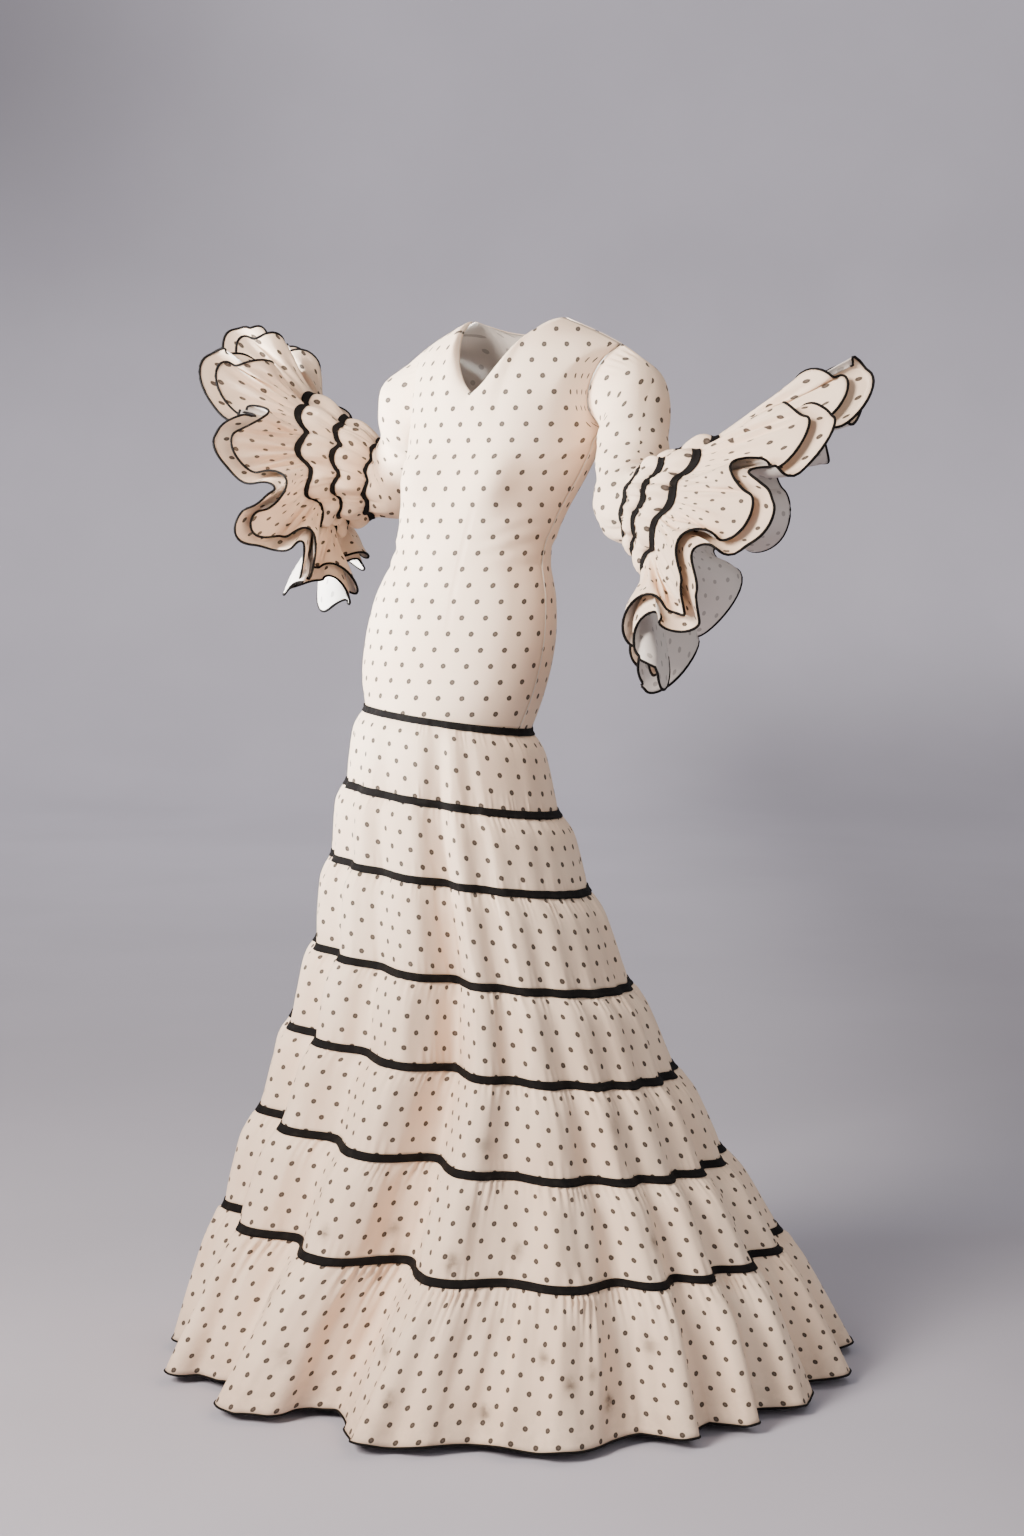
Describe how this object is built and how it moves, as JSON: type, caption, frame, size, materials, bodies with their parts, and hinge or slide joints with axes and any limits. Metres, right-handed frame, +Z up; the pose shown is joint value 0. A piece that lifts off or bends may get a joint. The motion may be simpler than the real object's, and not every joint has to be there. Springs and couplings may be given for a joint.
{
  "type": "flamenco dress",
  "caption": "Long flamenco dress in cream cotton with dark dots, fitted to the thigh, with a gathered mermaid skirt and two-layer sleeve flounces, edged in black tape.",
  "frame": {"origin": "the middle of the shoulder line, where the wearer holds the dress up", "axes": "+Z up; the dress faces -Y; +X is towards the wearer's left"},
  "size_m": [1.1044, 0.9691, 1.4607],
  "materials": {
    "dotted_cotton": "matte cream cotton with small charcoal dots",
    "black_tape": "matte black woven tape",
    "zip_tape": "cream woven zip tape"
  },
  "bodies": {
    "root": {"back_zip": "zip_tape", "bodice_back_left": "dotted_cotton", "bodice_back_right": "dotted_cotton", "bodice_front": "dotted_cotton", "hem_piping": "black_tape", "skirt_tape_1": "black_tape", "skirt_tape_2": "black_tape", "skirt_tape_3": "black_tape", "skirt_tape_4": "black_tape", "skirt_tape_5": "black_tape", "skirt_tape_6": "black_tape", "skirt_tape_7": "black_tape", "skirt_tier_1": "dotted_cotton", "skirt_tier_2": "dotted_cotton", "skirt_tier_3": "dotted_cotton", "skirt_tier_4": "dotted_cotton", "skirt_tier_5": "dotted_cotton", "skirt_tier_6": "dotted_cotton", "skirt_tier_7": "dotted_cotton", "sleeve_left": "dotted_cotton", "sleeve_left_flounce_inner": "dotted_cotton", "sleeve_left_flounce_outer": "dotted_cotton", "sleeve_left_tape_1": "black_tape", "sleeve_left_tape_2": "black_tape", "sleeve_left_tape_3": "black_tape", "sleeve_left_tier_1": "dotted_cotton", "sleeve_left_tier_2": "dotted_cotton", "sleeve_right": "dotted_cotton", "sleeve_right_flounce_inner": "dotted_cotton", "sleeve_right_flounce_outer": "dotted_cotton", "sleeve_right_tape_1": "black_tape", "sleeve_right_tape_2": "black_tape", "sleeve_right_tape_3": "black_tape", "sleeve_right_tier_1": "dotted_cotton", "sleeve_right_tier_2": "dotted_cotton"}
  },
  "joints": []
}
